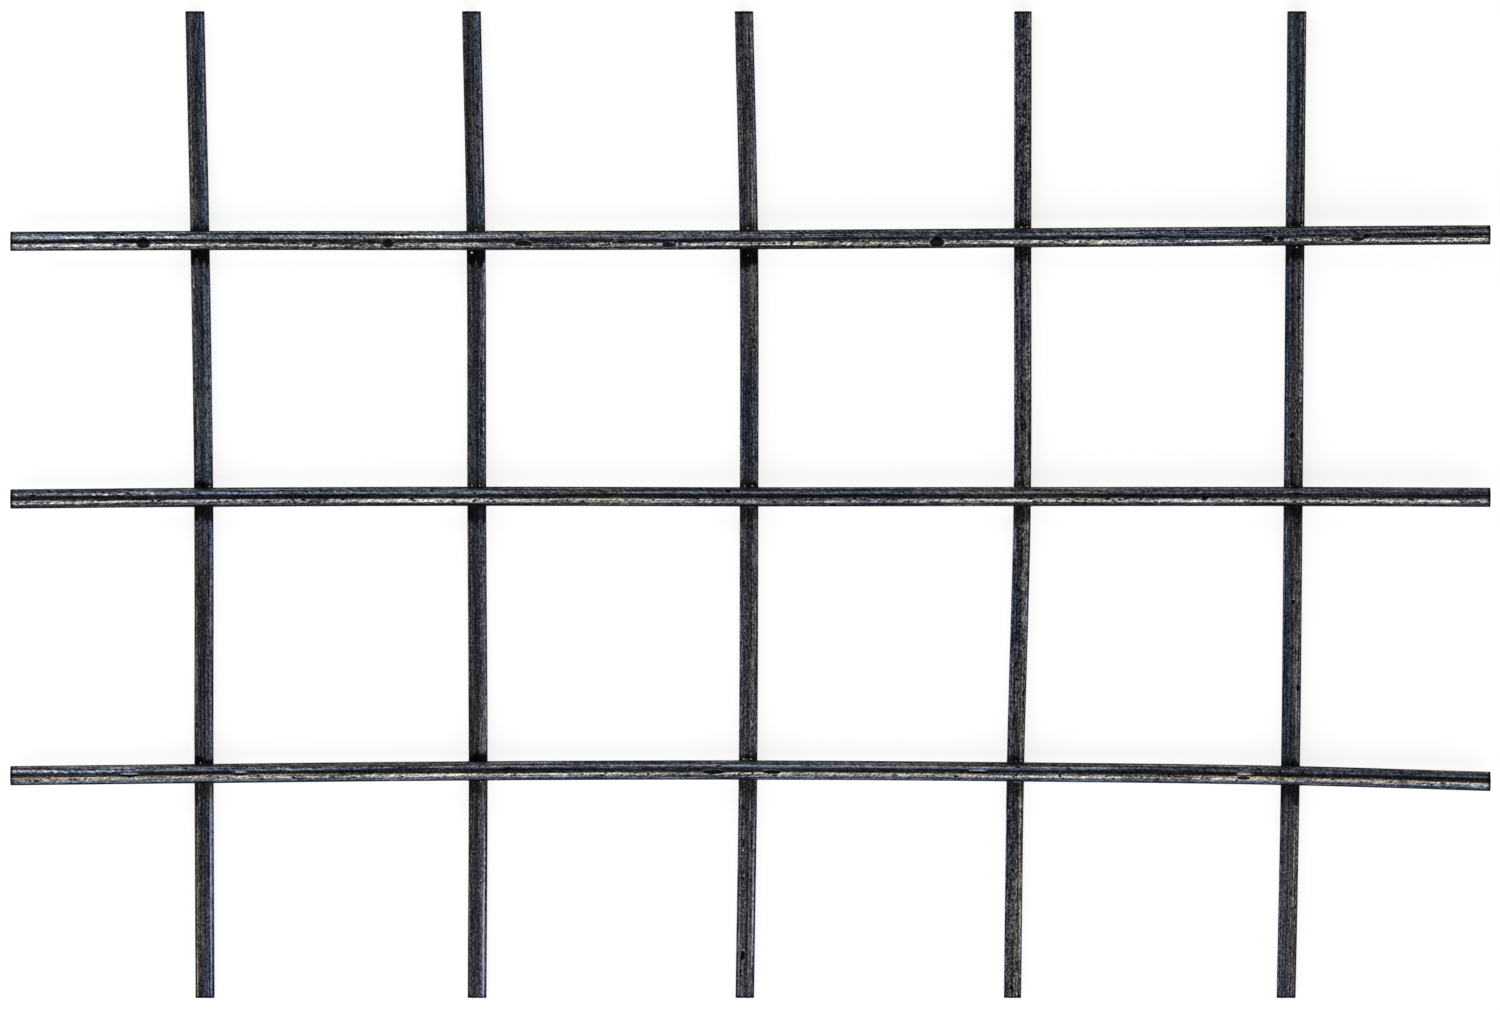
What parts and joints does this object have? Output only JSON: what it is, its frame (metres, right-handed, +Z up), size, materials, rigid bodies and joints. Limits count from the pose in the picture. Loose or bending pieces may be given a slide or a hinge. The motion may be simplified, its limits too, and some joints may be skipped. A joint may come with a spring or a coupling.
{
  "type": "welded steel mesh panel",
  "caption": "Flat open panel of round steel wires laid in two layers at right angles and welded at every crossing, with free wire ends all round.",
  "frame": {"origin": "centre of the panel's box, on the surface it lies on", "axes": "+X along the line wires, which lie on top, +Y along the cross wires, which lie underneath, +Z up through the panel's thickness"},
  "size_m": [0.2746, 0.1832, 0.0063],
  "materials": {
    "steel_wire": "dark drawn steel, bare and unpolished, with die lines along the wires, small pits and light specks of rust"
  },
  "bodies": {
    "root": {"mesh_panel": "steel_wire"}
  },
  "joints": []
}
